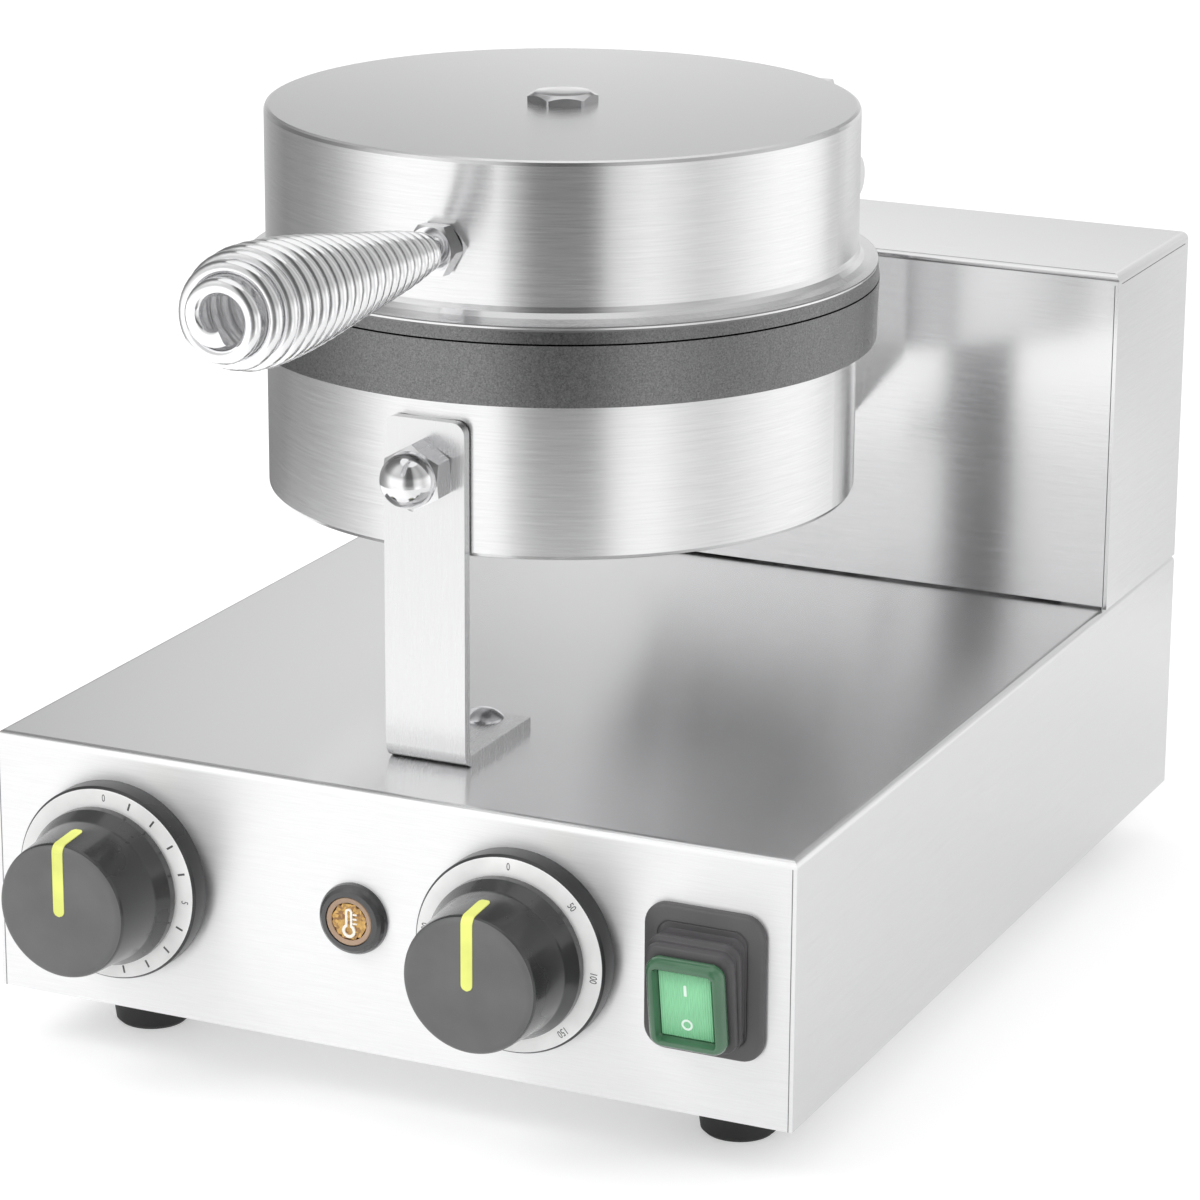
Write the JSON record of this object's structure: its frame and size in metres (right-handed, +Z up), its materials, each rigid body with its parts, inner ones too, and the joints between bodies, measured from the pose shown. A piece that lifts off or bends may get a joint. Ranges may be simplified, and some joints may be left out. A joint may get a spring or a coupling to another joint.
{
  "type": "round waffle maker",
  "caption": "Countertop round waffle maker: drum-shaped heads over a low stainless base, lid hinged behind, coil-spring handle, timer and thermostat dials, rocker switch.",
  "frame": {"origin": "middle of the floor area under the whole machine, gland and handle included", "axes": "+X to the right seen from the front, +Y from the control panel to the back, +Z up"},
  "size_m": [0.24, 0.417, 0.262],
  "materials": {
    "base_sheet": "brushed",
    "panel_sheet": "satin",
    "tower_sheet": "brushed",
    "bracket_steel": "brushed",
    "drum_steel": "brushed",
    "cast_plate": "cast",
    "heater_tube": "matte",
    "pressed_steel": "satin",
    "zinc_screw": "zinc plated",
    "bright_steel": "polished",
    "chrome_wire": "polished",
    "foot_rubber": "matte",
    "boot_rubber": "satin",
    "black_nylon": "matte",
    "black_knob": "satin",
    "white_dial": "satin",
    "switch_black": "satin",
    "lamp_black": "gloss",
    "amber_lens": "translucent amber, gloss",
    "green_hood": "translucent dark green",
    "green_rocker": "translucent green",
    "ceramic_block": "ceramic",
    "copper_bulb": "copper",
    "control_case": "moulded"
  },
  "bodies": {
    "base": {"base_housing": "base_sheet", "base_bottom_panel": "panel_sheet", "bottom_panel_screws": "zinc_screw", "foot_front_left": "foot_rubber", "foot_front_right": "foot_rubber", "foot_rear_left": "foot_rubber", "foot_rear_right": "foot_rubber", "foot_fasteners": "zinc_screw", "tower_housing": "tower_sheet", "tower_rear_cover": "panel_sheet", "rear_cover_screws": "zinc_screw", "tower_fixing_screws": "zinc_screw", "cable_gland": "black_nylon", "gland_locknut": "black_nylon", "terminal_block": "ceramic_block", "front_bracket": "bracket_steel", "rear_bracket": "bracket_steel", "bracket_fasteners": "zinc_screw", "front_bolt": "bright_steel", "front_dome_nut": "bright_steel", "rear_bolt": "bright_steel", "rear_nut": "bright_steel", "hinge_pin": "bright_steel", "hinge_nut": "bright_steel", "lower_shell": "drum_steel", "lower_plate": "cast_plate", "lower_heater": "heater_tube", "lower_pressure_plate": "pressed_steel", "lower_spacer": "pressed_steel", "lower_clamp_bolt": "bright_steel", "thermostat_bulb": "copper_bulb", "timer_body": "control_case", "timer_dial": "white_dial", "thermostat_body": "control_case", "thermostat_dial": "white_dial", "control_screws": "zinc_screw", "lamp_bezel": "lamp_black", "lamp_lens": "amber_lens", "lamp_nut": "black_nylon", "switch_frame": "switch_black", "switch_boot": "boot_rubber", "switch_body": "switch_black"},
    "lid": {"hinge_arm": "bracket_steel", "hinge_arm_screws": "bright_steel", "upper_shell": "drum_steel", "upper_plate": "cast_plate", "upper_heater": "heater_tube", "upper_pressure_plate": "pressed_steel", "upper_spacer": "pressed_steel", "lid_bolt": "bright_steel", "handle_boss": "bright_steel", "handle_locknut": "bright_steel", "handle_spring": "chrome_wire"},
    "timer_knob": {"timer_knob": "black_knob", "timer_spindle": "bright_steel"},
    "thermostat_knob": {"thermostat_knob": "black_knob", "thermostat_spindle": "bright_steel"},
    "rocker": {"switch_rocker": "green_rocker", "switch_hood": "green_hood"}
  },
  "joints": [
    {"name": "lid_hinge", "type": "hinge", "parent": "base", "child": "lid", "pos_m": [0, 0.10363, 0.221], "axis": [-1, 0, 0], "range_deg": [0, 100]},
    {"name": "timer_turn", "type": "hinge", "parent": "base", "child": "timer_knob", "pos_m": [-0.0816, -0.13337, 0.0554], "axis": [0, 1, 0], "range_deg": [0, 280]},
    {"name": "thermostat_turn", "type": "hinge", "parent": "base", "child": "thermostat_knob", "pos_m": [0.04104, -0.13337, 0.0554], "axis": [0, 1, 0], "range_deg": [0, 300]},
    {"name": "switch_rock", "type": "hinge", "parent": "base", "child": "rocker", "pos_m": [0.09504, -0.11437, 0.0554], "axis": [-1, 0, 0], "range_deg": [0, 18]}
  ]
}
